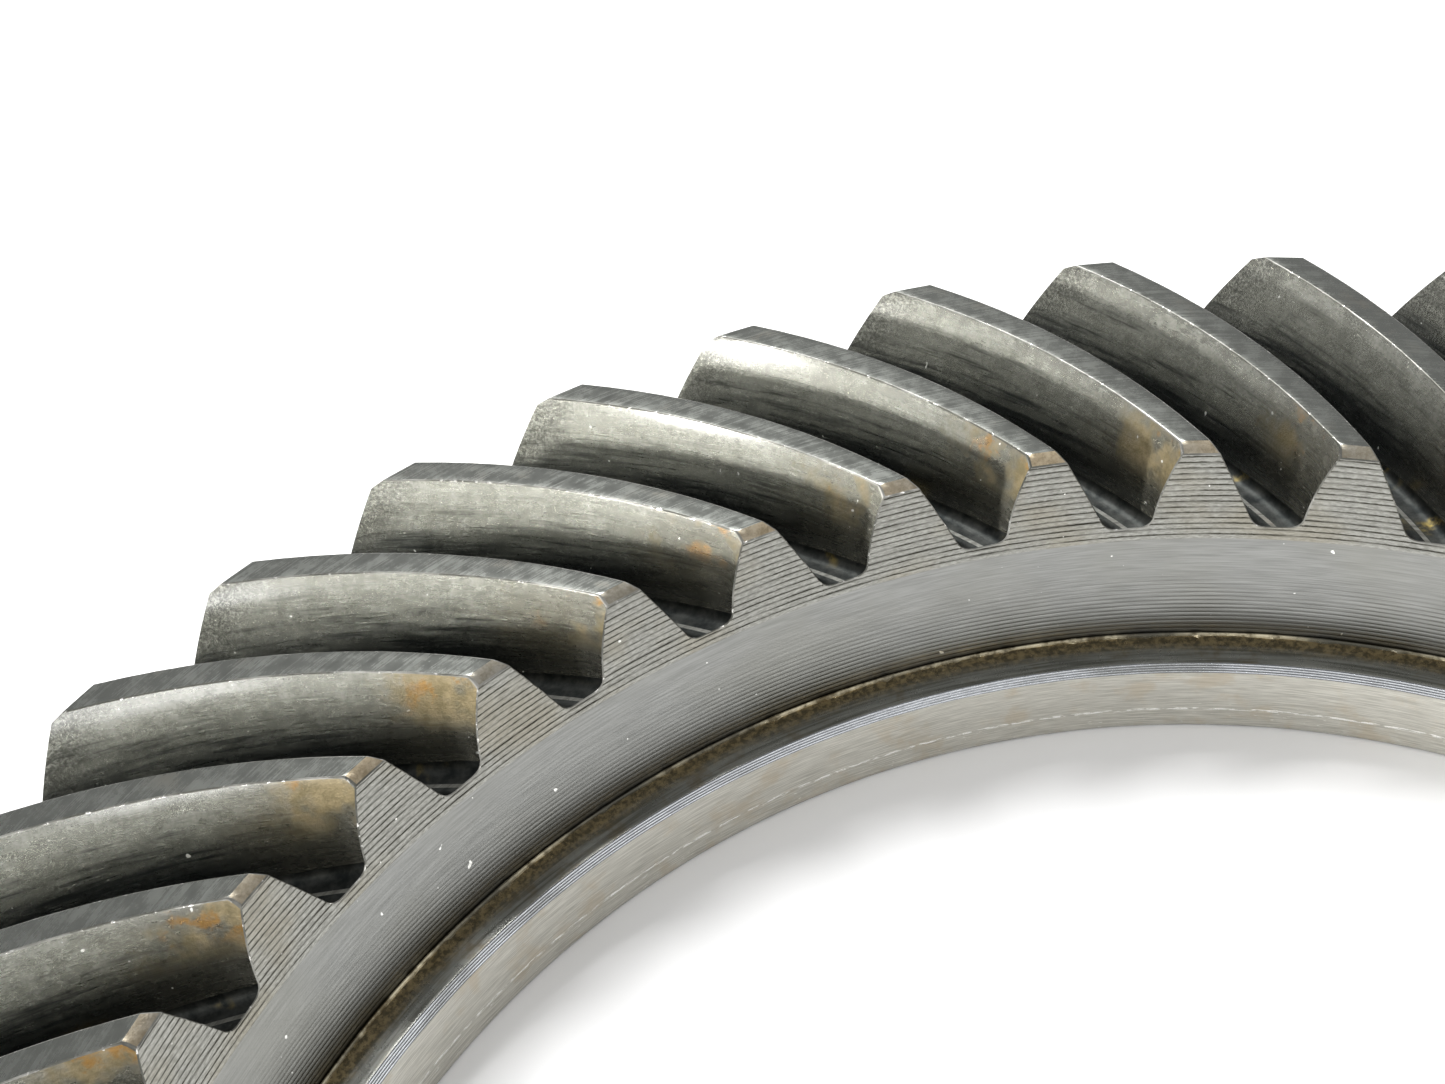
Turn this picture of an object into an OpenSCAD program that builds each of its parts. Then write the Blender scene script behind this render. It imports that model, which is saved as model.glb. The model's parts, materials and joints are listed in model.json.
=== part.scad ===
// Spiral bevel ring gear (crown wheel) of an axle drive: a toothed ring with a
// separate pilot ring in its bore.
//
// Frame: +Z is the gear axis and points from the back face to the teeth. The
// origin is the centre of the flat back face, so the gear lies on Z = 0.
// The tooth roots at the toe are numbered from +X, counter-clockwise.

/* [Teeth] */
// Number of teeth
teeth = 39; // [20:1:60]
// Outside diameter, where the tooth ends are turned to a cylinder
outside_d = 251.2; // [200:0.1:300]
// Height above the back face at which the tooth tips would meet that cylinder
heel_tip_h = 26.7; // [20:0.1:40]
// Face width along the tooth tips
face_w = 36.7; // [20:0.1:50]
// Radius at the middle of the face
mid_face_r = 106.2; // [90:0.1:120]
// Slope of the tooth tips below a flat plane, in degrees
face_slope = 9.0; // [0:0.1:30]
// Slope of the tooth roots below a flat plane, in degrees
root_slope = 14.0; // [0:0.1:35]
// Radius of the tooth roots at the toe
toe_root_r = 88.0; // [70:0.1:110]
// Height of the tooth roots at the toe above the back face
toe_root_h = 22.8; // [15:0.1:30]
// Spiral angle of the teeth at the middle of the face, in degrees
spiral_angle = 36.1; // [0:0.1:45]
// Radius of the face cutter that sweeps the slots
cutter_r = 97.5; // [60:0.5:150]
// Width of the slot bottom at the toe, square to the tooth
slot_toe_w = 3.6; // [1:0.05:6]
// Width of the slot bottom at the heel, square to the tooth
slot_heel_w = 3.2; // [1:0.05:6]
// Pressure angle of the slot side that the cutter's outer edge makes, in degrees
outer_pressure_angle = 16.5; // [10:0.5:30]
// Pressure angle of the slot side that the cutter's inner edge makes, in degrees
inner_pressure_angle = 21.5; // [10:0.5:30]
// Size of the slope that fills the slot's bottom corners
slot_fillet = 0.9; // [0.2:0.05:2]

/* [Blank] */
// Chamfer at the toe end of the tooth tips
toe_chamfer = 0.9; // [0:0.1:3]
// Radius of the back face
back_face_r = 114.0; // [100:0.5:122]
// Edge break at the heel end of the tooth tips
heel_chamfer = 0.8; // [0:0.1:3]
// Height where the outside cylinder meets the bevel behind it
back_bevel_h = 9.0; // [3:0.1:15]
// Bore of the toothed ring, which the pilot ring is pressed into
seat_r = 86.1; // [80:0.1:88]
// Chamfer where the two rings meet, at the back face and at the ledge
seat_chamfer = 0.3; // [0:0.1:1]

/* [Pilot ring] */
// Radius of the finished pilot bore
pilot_r = 81.4; // [70:0.1:86]
// Height of the pilot ring, from the back face to its ledge
pilot_h = 9.2; // [5:0.1:20]
// Chamfer at the upper mouth of the pilot bore
pilot_chamfer = 0.7; // [0:0.1:3]

/* [Bolt circle] */
// Number of tapped holes in the back face
bolt_count = 12; // [6:1:20]
// Radius of the bolt circle
bolt_circle_r = 103.0; // [92:0.5:112]
// Radius of the tapped holes, to the thread crests
bolt_hole_r = 5.7; // [3:0.05:8]
// Full depth of the tapped holes
bolt_hole_depth = 13.0; // [8:0.5:20]
// Countersink at the mouth of each tapped hole
bolt_countersink = 0.9; // [0:0.1:2]

/* [Hidden] */

steel = [0.49, 0.51, 0.50];
ground_steel = [0.66, 0.64, 0.60];

eps = 0.01;
pitch = 360 / teeth;
heel_r = outside_d / 2;

// Toe cone: the turned inner face, which leans outward from the ledge to the tips.
toe_lean = (toe_root_r - seat_r) / (toe_root_h - pilot_h);
function toe_cone_r(h) = toe_root_r + (h - toe_root_h) * toe_lean;
function tip_h(r) = heel_tip_h + (heel_r - r) * tan(face_slope);
toe_tip_r = heel_r - face_w * cos(face_slope);
toe_tip_h = tip_h(toe_tip_r);

// Slots: a face cutter turns about an axis square to the root cone, and its rim
// sweeps the slot. The two sides are cut at slightly different spiral angles, which
// narrows the slot bottom a little from toe to heel.
slot_mid_h = toe_root_h - (mid_face_r - toe_root_r) * tan(root_slope);
slot_mid_w = (slot_toe_w + slot_heel_w) / 2;
slot_length = 2 * (mid_face_r - toe_root_r) / cos(root_slope) / cos(spiral_angle);
slot_widening = atan((slot_heel_w - slot_toe_w) / 2 / slot_length);
slot_top = 20;
// Bearing of the slot's middle, which puts its toe end on +X. The spiral angle of
// the toe half is smaller than at the middle.
toe_half_spiral = spiral_angle - 3;
slot_bearing = atan(slot_length / 2 * sin(toe_half_spiral) / mid_face_r);

// Moves to the middle of the slot bottom: X down the root cone, Z square to it.
module at_slot() {
    rotate([0, 0, slot_bearing])
        translate([mid_face_r, 0, slot_mid_h])
            rotate([0, root_slope, 0])
                children();
}

// Moves on to the cutter's axis for one spiral angle.
module at_cutter(spiral) {
    at_slot()
        translate([-cutter_r * sin(spiral), cutter_r * cos(spiral), 0])
            children();
}

// Everything inside the cutter's outer edge, down to the slot bottom.
module outer_sweep() {
    edge = cutter_r + slot_mid_w / 2;
    lean = tan(outer_pressure_angle);
    rotate_extrude($fn = 240)
        polygon([
            [0, 0],
            [edge - slot_fillet, 0],
            [edge + slot_fillet * lean, slot_fillet],
            [edge + slot_top * lean, slot_top],
            [0, slot_top]
        ]);
}

// What the cutter's inner edge leaves standing. It starts below the slot bottom and
// ends above the slot's top.
module inner_core() {
    edge = cutter_r - slot_mid_w / 2;
    lean = tan(inner_pressure_angle);
    rotate_extrude($fn = 240)
        polygon([
            [0, -1],
            [edge + slot_fillet, -1],
            [edge + slot_fillet, 0],
            [edge - slot_fillet * lean, slot_fillet],
            [edge - (slot_top + 1) * lean, slot_top + 1],
            [0, slot_top + 1]
        ]);
}

module slot_window() {
    window = [slot_length * 1.15, slot_length, slot_top * 3];
    at_slot()
        cube(window, center = true);
}

module slot() {
    difference() {
        intersection() {
            at_cutter(spiral_angle - slot_widening) outer_sweep();
            slot_window();
        }
        at_cutter(spiral_angle + slot_widening) inner_core();
    }
}

// Half section of the gear blank, from the seat bore round to the back face.
module blank() {
    rotate_extrude($fn = 234)
        polygon([
            [seat_r + seat_chamfer, 0],
            [seat_r, seat_chamfer],
            [seat_r, pilot_h],
            [toe_cone_r(toe_tip_h - toe_chamfer), toe_tip_h - toe_chamfer],
            [toe_tip_r + toe_chamfer, tip_h(toe_tip_r + toe_chamfer)],
            [heel_r - heel_chamfer, tip_h(heel_r - heel_chamfer)],
            [heel_r, heel_tip_h - heel_chamfer],
            [heel_r, back_bevel_h],
            [back_face_r, 0]
        ]);
}

// One tapped hole: countersunk mouth, thread bore and drill point.
module bolt_hole() {
    rotate_extrude($fn = 48)
        polygon([
            [0, -eps],
            [bolt_hole_r + bolt_countersink + eps, -eps],
            [bolt_hole_r, bolt_countersink],
            [bolt_hole_r, bolt_hole_depth - bolt_hole_r * tan(30)],
            [0, bolt_hole_depth]
        ]);
}

module bolt_holes() {
    for (i = [0:bolt_count - 1])
        rotate([0, 0, i * 360 / bolt_count])
            translate([bolt_circle_r, 0, 0])
                bolt_hole();
}

module ring_gear() {
    color(steel)
        difference() {
            blank();
            for (i = [0:teeth - 1])
                rotate([0, 0, i * pitch])
                    slot();
            bolt_holes();
        }
}

module pilot_ring() {
    color(ground_steel)
        rotate_extrude($fn = 234)
            polygon([
                [pilot_r, 0],
                [seat_r - seat_chamfer, 0],
                [seat_r, seat_chamfer],
                [seat_r, pilot_h - seat_chamfer],
                [seat_r - seat_chamfer, pilot_h],
                [pilot_r + pilot_chamfer, pilot_h],
                [pilot_r, pilot_h - pilot_chamfer]
            ]);
}

ring_gear();
pilot_ring();
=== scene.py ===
"""Looks of the spiral bevel ring gear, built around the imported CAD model.

The toothed ring and the pilot ring are rebuilt here at the CAD sizes, with the cutter's true
tooth surfaces, turned grooves, broken edges, root fillets, threads and a bead of oil in the
seam as real geometry. Lengths are in millimetres until a mesh is made, and metres from there on.
"""

import json
import math

import bmesh
import bpy
import numpy as np
from mathutils import Matrix, Vector


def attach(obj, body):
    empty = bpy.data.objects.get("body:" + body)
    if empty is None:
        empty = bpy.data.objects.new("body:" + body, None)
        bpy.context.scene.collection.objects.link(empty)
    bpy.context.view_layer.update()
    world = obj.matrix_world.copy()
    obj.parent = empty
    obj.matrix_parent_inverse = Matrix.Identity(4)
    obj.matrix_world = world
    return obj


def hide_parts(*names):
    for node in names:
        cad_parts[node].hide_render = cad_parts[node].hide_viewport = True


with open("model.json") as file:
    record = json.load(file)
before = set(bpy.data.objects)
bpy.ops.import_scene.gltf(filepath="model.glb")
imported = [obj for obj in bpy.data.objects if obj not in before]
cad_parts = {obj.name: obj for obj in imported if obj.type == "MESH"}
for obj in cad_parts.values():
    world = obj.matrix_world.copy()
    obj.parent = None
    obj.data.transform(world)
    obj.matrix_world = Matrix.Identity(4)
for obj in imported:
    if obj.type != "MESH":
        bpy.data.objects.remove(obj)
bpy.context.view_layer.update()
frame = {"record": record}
mounts = {mount["name"]: mount for mount in frame["record"]["mounts"]}

# ---------------------------------------------------------------- sizes, in mm and radians
# The CAD's sizes. Those that the record states come from the frame.
MM = 0.001
TEETH = 39
PITCH = 2 * math.pi / TEETH
HEEL_R = 125.6
HEEL_TIP_H = 26.7
FACE_W = 36.7
MID_FACE_R = 106.2
FACE_SLOPE = math.radians(9.0)
ROOT_SLOPE = math.radians(14.0)
TOE_ROOT_R = 88.0
TOE_ROOT_H = 22.8
SPIRAL = math.radians(36.1)
CUTTER_R = 97.5
SLOT_TOE_W = 3.6
SLOT_HEEL_W = 3.2
OUTER_ANGLE = math.radians(16.5)
INNER_ANGLE = math.radians(21.5)
SLOT_FILLET = 0.9
TOE_CHAMFER = 0.9
HEEL_CHAMFER = 0.8
BACK_FACE_R = 114.0
BACK_BEVEL_H = 9.0
SEAT_R = 86.1
SEAT_CHAMFER = 0.3
PILOT_R = mounts["pilot_bore"]["dims"]["r_mm"]
PILOT_H = 9.2
PILOT_CHAMFER = 0.7
CHAMFER_LINES = 4  # turned lines on that chamfer
CHAMFER_LINE = PILOT_CHAMFER / CHAMFER_LINES
CHAMFER_DROP = 0.03  # the chamfer starts this much below the ledge
BOLTS = mounts["bolt_circle"]["dims"]["count"]
BOLT_CIRCLE_R = mounts["bolt_circle"]["dims"]["pcd_mm"] / 2
BOLT_R = mounts["bolt_circle"]["dims"]["hole_r_mm"]
BOLT_DEPTH = 13.0
BOLT_COUNTERSINK = 0.9
DRILL_SLOPE = math.radians(30)  # of the cone at the hole's end
THREAD_PITCH = 25.4 / 20
THREAD_DEPTH = 0.55
THREAD_END = BOLT_DEPTH - 3.4
DRILL_TIP_R = 1.0  # the cone's end is closed flat inside this radius
DRILL_TIP_H = BOLT_DEPTH - 0.4

# Finish that the CAD model leaves out.
RIM = 0.08  # broken edge round the ends of the teeth
EDGE_ROUND = 0.12  # rounded edge along the lands
TOE_EDGE_ROUND = 0.12  # growth of that edge at the toe, on the side away from the cutter's axis
TOE_EDGE_FADE = 1.1  # distance from the toe over which that growth fades
INNER_CROWN = 0.06  # how far a flank's middle stands proud, on the side towards that axis
OUTER_CROWN = 0.34  # and on the side away from it
COARSE_PITCH = 0.665
COARSE_DEPTH = 0.085
COARSE_END_H = 21.4  # the coarse grooves of the tooth ends stop here
FINE_PITCH = 0.52
FINE_STEP = 0.05  # the fine cut lies this much deeper
FINE_DEPTH = 0.005  # of the fine grooves at their upper end
FINE_DEEPENING = 0.022  # what they gain on the way down to the ledge
SKIRT_H = 12.2  # the columns of the teeth run down the outside to here
OUTSIDE_H = 11.6  # and the full rings of the outside start here

TOE_LEAN = (TOE_ROOT_R - SEAT_R) / (TOE_ROOT_H - PILOT_H)
TOE_TIP_R = HEEL_R - FACE_W * math.cos(FACE_SLOPE)
SLOT_MID_H = TOE_ROOT_H - (MID_FACE_R - TOE_ROOT_R) * math.tan(ROOT_SLOPE)
SLOT_MID_W = (SLOT_TOE_W + SLOT_HEEL_W) / 2
SLOT_LENGTH = 2 * (MID_FACE_R - TOE_ROOT_R) / math.cos(ROOT_SLOPE) / math.cos(SPIRAL)
SLOT_WIDENING = math.atan((SLOT_HEEL_W - SLOT_TOE_W) / 2 / SLOT_LENGTH)
TOE_HALF_SPIRAL = SPIRAL - math.radians(3)
SLOT_BEARING = math.atan(SLOT_LENGTH / 2 * math.sin(TOE_HALF_SPIRAL) / MID_FACE_R)

RING_STEPS = 8 * TEETH  # columns of a full turned ring; also a multiple of the bolt count


def toe_cone_r(h):
    return TOE_ROOT_R + (h - TOE_ROOT_H) * TOE_LEAN


def tip_h(r):
    return HEEL_TIP_H + (HEEL_R - r) * math.tan(FACE_SLOPE)


TOE_TOP_H = tip_h(TOE_TIP_R) - TOE_CHAMFER
TOP_OUTLINE_R = [toe_cone_r(TOE_TOP_H), TOE_TIP_R + TOE_CHAMFER, HEEL_R - HEEL_CHAMFER, HEEL_R]
TOP_OUTLINE_H = [
    TOE_TOP_H,
    tip_h(TOE_TIP_R + TOE_CHAMFER),
    tip_h(HEEL_R - HEEL_CHAMFER),
    HEEL_TIP_H - HEEL_CHAMFER,
]


def top_h(r):
    """Height of the blank's toothed side: toe chamfer, tip cone and heel edge break."""
    return np.interp(r, TOP_OUTLINE_R, TOP_OUTLINE_H)


# ---------------------------------------------------------------- tooth surfaces
def station_r(u, h):
    """Radius of the surface of revolution at share u of the way from toe to heel."""
    return (1 - u) * toe_cone_r(h) + u * HEEL_R


def cutter_point(rho, h, spiral, turn):
    """A point of slot 0 at radius rho from the cutter's axis, turned from the slot's middle."""
    x = -CUTTER_R * np.sin(spiral) + rho * np.sin(spiral + turn)
    y = CUTTER_R * np.cos(spiral) - rho * np.cos(spiral + turn)
    out = x * math.cos(ROOT_SLOPE) + h * math.sin(ROOT_SLOPE) + MID_FACE_R
    up = -x * math.sin(ROOT_SLOPE) + h * math.cos(ROOT_SLOPE) + SLOT_MID_H
    c, s = math.cos(SLOT_BEARING), math.sin(SLOT_BEARING)
    return np.stack([out * c - y * s, out * s + y * c, up], axis=-1)


FARTHEST_TURN = 0.45  # of the cutter from the slot's middle, past both ends of every slot
HALVINGS = 42


def on_station(rho, h, spiral, u):
    """The point of that cutter circle which lies on station u, found by halving."""
    rho, h, spiral, u = np.broadcast_arrays(rho, h, spiral, u)
    low, high = np.full(rho.shape, -FARTHEST_TURN), np.full(rho.shape, FARTHEST_TURN)
    for _ in range(HALVINGS):
        turn = (low + high) / 2
        p = cutter_point(rho, h, spiral, turn)
        outside = np.hypot(p[..., 0], p[..., 1]) > station_r(u, p[..., 2])
        high = np.where(outside, turn, high)
        low = np.where(outside, low, turn)
    return cutter_point(rho, h, spiral, (low + high) / 2)


TOE_DEPTH, HEEL_DEPTH = 9.4, 12.6  # of the slots, square to their bottom
INNER, OUTER = 1, -1  # the slot's side towards the cutter's axis, and the one away from it
LEAN = {INNER: math.tan(INNER_ANGLE), OUTER: math.tan(OUTER_ANGLE)}
CROWN = {INNER: INNER_CROWN, OUTER: OUTER_CROWN}


def wall_point(side, h, u, grow):
    """A point of a slot's side. The slot is wider and deeper by grow."""
    share = (h - SLOT_FILLET) / (TOE_DEPTH + (HEEL_DEPTH - TOE_DEPTH) * u - SLOT_FILLET)
    crown = CROWN[side] * 4 * share * (share - 1)
    rho = CUTTER_R - side * (SLOT_MID_W / 2 + grow + h * LEAN[side] + crown)
    return on_station(rho, h - grow, SPIRAL + side * SLOT_WIDENING, u)


LOWEST_TOP, HIGHEST_TOP = 3.0, 17.0  # bounds for the halving below
TOP_HALVINGS = 34


def wall_top(side, u, grow):
    """Height of the slot's side above its bottom, where it meets the blank's top."""
    low, high = np.full(np.shape(u), LOWEST_TOP), np.full(np.shape(u), HIGHEST_TOP)
    for _ in range(TOP_HALVINGS):
        h = (low + high) / 2
        p = wall_point(side, h, u, grow)
        above = p[..., 2] > top_h(np.hypot(p[..., 0], p[..., 1])) - grow
        high = np.where(above, h, high)
        low = np.where(above, low, h)
    return (low + high) / 2


FILLET_SHARES = np.linspace(0, 1, 5)


def root_points(side, u, grow):
    """From the middle of the slot bottom to the top of the fillet on one side."""
    half = SLOT_MID_W / 2 + grow
    t = FILLET_SHARES
    across = (half - SLOT_FILLET) * (1 - t) ** 2 + half * 2 * t * (1 - t)
    across = across + (half + SLOT_FILLET * LEAN[side]) * t**2
    height = SLOT_FILLET * t**2
    across = np.concatenate([[0, half / 4], across])
    height = np.concatenate([[0, 0], height])
    tilt = np.clip(across / half, 0, 1)
    spiral = SPIRAL + side * SLOT_WIDENING * tilt
    return on_station(CUTTER_R - side * across, height - grow, spiral, u[..., None])


WALL_STEPS = 8
ROUND_SHARES = np.array([0.0, 0.35, 0.65, 1.0])
LAND_STEPS = 4


def turn_about_axis(points, angle):
    c, s = np.cos(angle), np.sin(angle)
    x, y = points[..., 0], points[..., 1]
    return np.stack([x * c - y * s, x * s + y * c, points[..., 2]], axis=-1)


def polar(angle, r, h):
    angle, r, h = np.broadcast_arrays(angle, r, h)
    return np.stack([r * np.cos(angle), r * np.sin(angle), h], axis=-1)


def bearing(points):
    return np.arctan2(points[..., 1], points[..., 0])


def edge_round(side, u):
    growth = TOE_EDGE_ROUND if side == OUTER else 0.0
    return EDGE_ROUND + growth * np.exp(-u * FACE_W / TOE_EDGE_FADE)


def tooth_side(side, u, grow):
    """One slot side from the slot's middle up to the land, with its rounded edge."""
    top = wall_top(side, u, grow)
    trim = edge_round(side, u)
    corner = wall_point(side, top, u, grow)
    share = np.linspace(0, 1, WALL_STEPS + 1)[1:]
    heights = SLOT_FILLET + (top - trim - SLOT_FILLET)[..., None] * share
    wall = wall_point(side, heights, u[..., None], grow)
    r, h = np.hypot(corner[..., 0], corner[..., 1]), corner[..., 2]
    land = polar(bearing(corner) + side * trim / r, r, h)
    t = ROUND_SHARES[1:, None]
    rounded = (
        wall[..., -1, None, :] * (1 - t) ** 2
        + corner[..., None, :] * 2 * t * (1 - t)
        + land[..., None, :] * t**2
    )
    return np.concatenate([root_points(side, u, grow), wall, rounded], axis=-2)


ROOT_COUNT = len(FILLET_SHARES) + 2
SIDE_COUNT = ROOT_COUNT + WALL_STEPS + len(ROUND_SHARES) - 1


def tooth_section(u, grow):
    """Across one tooth, from the middle of slot 0 to just before the middle of slot 1."""
    left = tooth_side(INNER, u, grow)
    right = turn_about_axis(tooth_side(OUTER, u, grow), PITCH)
    a, b = bearing(left[..., -1, :]), bearing(right[..., -1, :])
    r = np.hypot(left[..., -1, 0], left[..., -1, 1])
    share = np.linspace(0, 1, LAND_STEPS + 1)[1:-1]
    angles = a[..., None] + (b - a)[..., None] * share
    land = polar(angles, r[..., None], left[..., -1, 2][..., None])
    return np.concatenate([left, land, right[..., :0:-1, :]], axis=-2)


# ---------------------------------------------------------------- mesh building
class Shell:
    """Gathers points and faces. Each face has a finish and each point a lane.

    A lane is for the shaders: distance along the tooth from its toe, and share of its height.
    """

    def __init__(self, finishes):
        self.finishes = finishes
        self.points, self.lanes, self.faces, self.kinds = [], [], [], []
        self.count = 0

    def add(self, points, along=0.0, height=0.0):
        points = np.asarray(points, float)
        shape = points.shape[:-1]
        number = int(np.prod(shape))
        lane = np.zeros(shape + (3,))
        lane[..., 0] = along
        lane[..., 1] = height
        self.points.append(points.reshape(-1, 3))
        self.lanes.append(lane.reshape(-1, 3))
        index = np.arange(self.count, self.count + number).reshape(shape)
        self.count += number
        return index

    def keep(self, faces, kind):
        self.faces.extend(faces)
        self.kinds.extend([self.finishes.index(kind)] * len(faces))

    def sheet(self, index, kind, closed=False):
        """Quads between the rows of index. kind is one finish, or one for each column."""
        ahead = np.roll(index, -1, axis=1)
        last = None if closed else -1
        quads = np.stack([index[:-1], ahead[:-1], ahead[1:], index[1:]], axis=-1)[:, :last]
        if isinstance(kind, str):
            self.keep(quads.reshape(-1, 4).tolist(), kind)
            return
        for name in sorted(set(kind)):
            chosen = quads[:, np.array([k == name for k in kind])]
            self.keep(chosen.reshape(-1, 4).tolist(), name)

    def stitch_rings(self, a, angles_a, b, angles_b, kind):
        """Triangles between two closed lines, by angle."""
        order_a, order_b = np.argsort(angles_a), np.argsort(angles_b)
        a, angles_a = np.asarray(a)[order_a], angles_a[order_a]
        b, angles_b = np.asarray(b)[order_b], angles_b[order_b]
        a, angles_a = np.append(a, a[0]), np.append(angles_a, angles_a[0] + 2 * math.pi)
        b, angles_b = np.append(b, b[0]), np.append(angles_b, angles_b[0] + 2 * math.pi)
        self.keep(stitch_faces(a, b, angles_a, angles_b), kind)

    def build(self, name, materials, sharp_degrees):
        mesh = bpy.data.meshes.new(name)
        points = np.concatenate(self.points) * MM
        mesh.from_pydata(points.tolist(), [], self.faces)
        for finish in self.finishes:
            mesh.materials.append(materials[finish])
        mesh.polygons.foreach_set("material_index", np.array(self.kinds, np.int32))
        lane = mesh.attributes.new("lane", "FLOAT_VECTOR", "POINT")
        lane.data.foreach_set("vector", np.concatenate(self.lanes).astype(np.float32).ravel())
        edit = bmesh.new()
        edit.from_mesh(mesh)
        bmesh.ops.recalc_face_normals(edit, faces=edit.faces)
        edit.to_mesh(mesh)
        edit.free()
        mesh.polygons.foreach_set("use_smooth", np.ones(len(mesh.polygons), bool))
        mesh.set_sharp_from_angle(angle=math.radians(sharp_degrees))
        mesh.update()
        piece = bpy.data.objects.new(name, mesh)
        bpy.context.scene.collection.objects.link(piece)
        return piece


def stitch_faces(a, b, share_a, share_b):
    """Triangles between two lines of points, kept level by their shares."""
    faces, i, j = [], 0, 0
    while i < len(a) - 1 or j < len(b) - 1:
        step_a = j == len(b) - 1 or (i < len(a) - 1 and share_a[i + 1] <= share_b[j + 1])
        if step_a:
            faces.append((int(a[i]), int(a[i + 1]), int(b[j])))
            i += 1
        else:
            faces.append((int(a[i]), int(b[j + 1]), int(b[j])))
            j += 1
    return faces


GROOVE_WIDTH = 0.17  # of a turned groove, as a share of its pitch
ROW_GAP = 0.04  # no row of points lies nearer than this to either end of a grooved face


def groove(angle, h, pitch, depth):
    """How far a turned groove cuts in at that height, with uneven tool marks along it."""
    turn = h / pitch
    number = np.round(turn)
    valley = np.exp(-(((turn - number) / GROOVE_WIDTH) ** 2))
    uneven = np.sin(7 * angle + 2.3 * number) * np.sin(19 * angle + 5.1 * number)
    ragged = np.sin(143 * angle + 12.9 * number) * np.sin(391 * angle + 7.7 * number)
    return depth * valley * (0.75 + 0.3 * uneven + 0.3 * ragged)


def groove_rows(low, high, pitch, marks):
    """Heights from low to high that follow each groove, at marks in shares of its pitch."""
    first, last = math.floor(low / pitch), math.ceil(high / pitch)
    rows = [(n + m) * pitch for n in range(first, last + 1) for m in marks]
    inside = [h for h in rows if low + ROW_GAP < h < high - ROW_GAP]
    return np.array([low, *sorted(inside), high])


# ---------------------------------------------------------------- toothed ring
GEAR_FINISHES = ["toe_cone", "fine_cone", "flank", "root", "root_track", "land"]
GEAR_FINISHES += ["toe_chamfer", "edge", "outside", "back", "thread"]


CHAMFER_STATIONS = 3  # the first stations, which cover the toe chamfer


def tooth_stations():
    """Shares of the way from toe to heel, close together where edges are broken."""
    chamfer_end = (TOP_OUTLINE_R[1] - TOP_OUTLINE_R[0]) / (HEEL_R - TOP_OUTLINE_R[0])
    heel_break = 1 - HEEL_CHAMFER / FACE_W
    near = [RIM / FACE_W, chamfer_end * 0.6, chamfer_end]
    past = [chamfer_end + d / FACE_W for d in (0.5, 1.2, 2.2)]
    middle = np.linspace(past[-1], heel_break, 14)[1:-1]
    return np.array([*near, *past, *middle, heel_break, 1 - RIM / FACE_W])


def add_teeth(shell):
    """Slots, flanks and lands of all teeth, and the skirt of the outside below them.

    Returns the first station's points, one row for each tooth, and the skirt's lowest ring.
    """
    u = tooth_stations()
    rows = np.concatenate([tooth_section(u, 0.0), tooth_section(np.array([1.0]), RIM)])
    columns = rows.shape[1]
    last = rows[-1]
    shares = np.array([0.25, 0.55, 1.0])[:, None]
    heights = last[:, 2] + (SKIRT_H - last[:, 2]) * shares
    skirt = polar(bearing(last), np.full(columns, HEEL_R), heights)
    rows = np.concatenate([rows, skirt])

    climb = np.linspace(0, 1, SIDE_COUNT - ROOT_COUNT + 1)[1:]
    side = np.concatenate([np.zeros(ROOT_COUNT), climb])
    height = np.concatenate([side, np.ones(LAND_STEPS - 1), side[:0:-1]])
    along = np.concatenate([u * FACE_W, np.full(len(rows) - len(u), FACE_W)])
    turned = [turn_about_axis(rows, k * PITCH) for k in range(TEETH)]
    ring = np.stack(turned, axis=1).reshape(len(rows), TEETH * columns, 3)
    index = shell.add(ring, along[:, None], np.tile(height, TEETH))

    rounding = len(ROUND_SHARES) - 1
    one_side = ["root"] * (ROOT_COUNT - 1) + ["flank"] * WALL_STEPS + ["edge"] * rounding
    # The slot's middle strip is lighter: partly the cutter's track, partly painted reflection.
    across = ["root_track"] + one_side[1:] + ["land"] * LAND_STEPS + one_side[::-1]
    toe_across = [k if k != "land" else "toe_chamfer" for k in across]
    heel_rows = len(u)
    shell.sheet(index[:CHAMFER_STATIONS], toe_across * TEETH, closed=True)
    shell.sheet(index[CHAMFER_STATIONS - 1 : heel_rows], across * TEETH, closed=True)
    shell.sheet(index[heel_rows - 1 : heel_rows + 1], "edge", closed=True)
    shell.sheet(index[heel_rows:], "outside", closed=True)
    return index[0].reshape(TEETH, columns), index[-1], bearing(ring[-1])


TOE_ROOT_ROWS = 17  # from the end of the coarse grooves up to the slot bottoms
TOE_FACE_STEPS = 7  # across one tooth's end face
TOE_FACE_START = 0.1  # the end face's own rows start this much above the fillets
CURVE_POINTS = 60
COARSE_MARKS = (-0.3, -0.12, 0.12, 0.3, 0.5)
FINE_MARKS = (-0.25, 0.0, 0.25, 0.5)


def side_curve(side, shift):
    """Height and bearing of points up a slot's side, on the toe cone."""
    top = wall_top(side, np.array([0.0]), RIM)[0]
    heights = np.linspace(SLOT_FILLET, top, CURVE_POINTS)
    p = turn_about_axis(wall_point(side, heights, 0.0, RIM), shift)
    return p[:, 2], bearing(p)


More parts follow.
